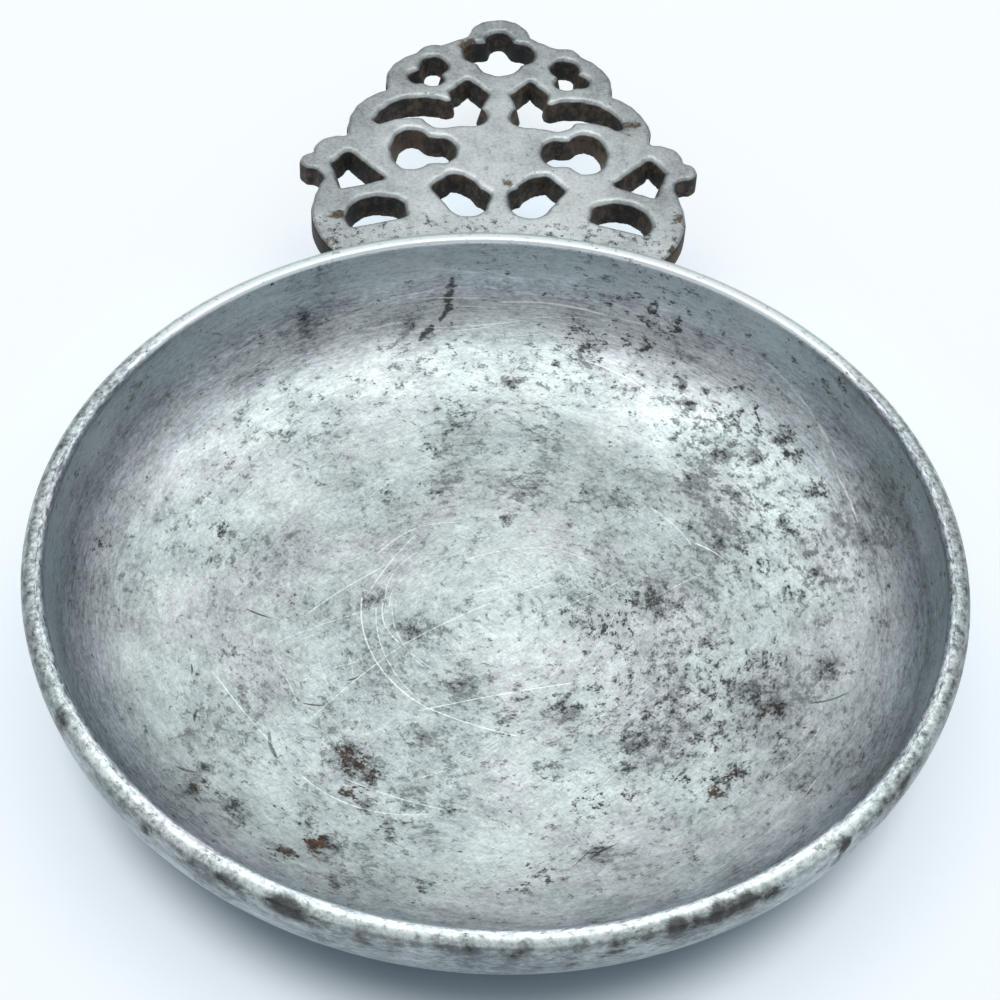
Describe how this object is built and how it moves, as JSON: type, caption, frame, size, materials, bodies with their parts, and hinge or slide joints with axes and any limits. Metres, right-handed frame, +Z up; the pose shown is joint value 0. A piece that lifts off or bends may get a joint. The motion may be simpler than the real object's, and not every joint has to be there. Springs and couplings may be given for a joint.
{
  "type": "porringer",
  "caption": "Shallow round pewter porringer with a turned lip and a flat pierced, flowered handle; stands on its flat bottom or hangs by the hole at the handle's tip.",
  "frame": {"origin": "on the bowl's axis, at the flat bottom that it stands on", "axes": "+Z up along the bowl's axis, +Y out along the handle from the bowl to its tip, +X to the right when looking along the handle from the bowl"},
  "size_m": [0.108, 0.1551, 0.0155],
  "materials": {
    "turned_pewter": "worn satin, mottled and pitted",
    "cast_pewter": "worn satin, brown in the corners"
  },
  "bodies": {
    "root": {"bowl": "turned_pewter", "handle": "cast_pewter"}
  },
  "joints": []
}
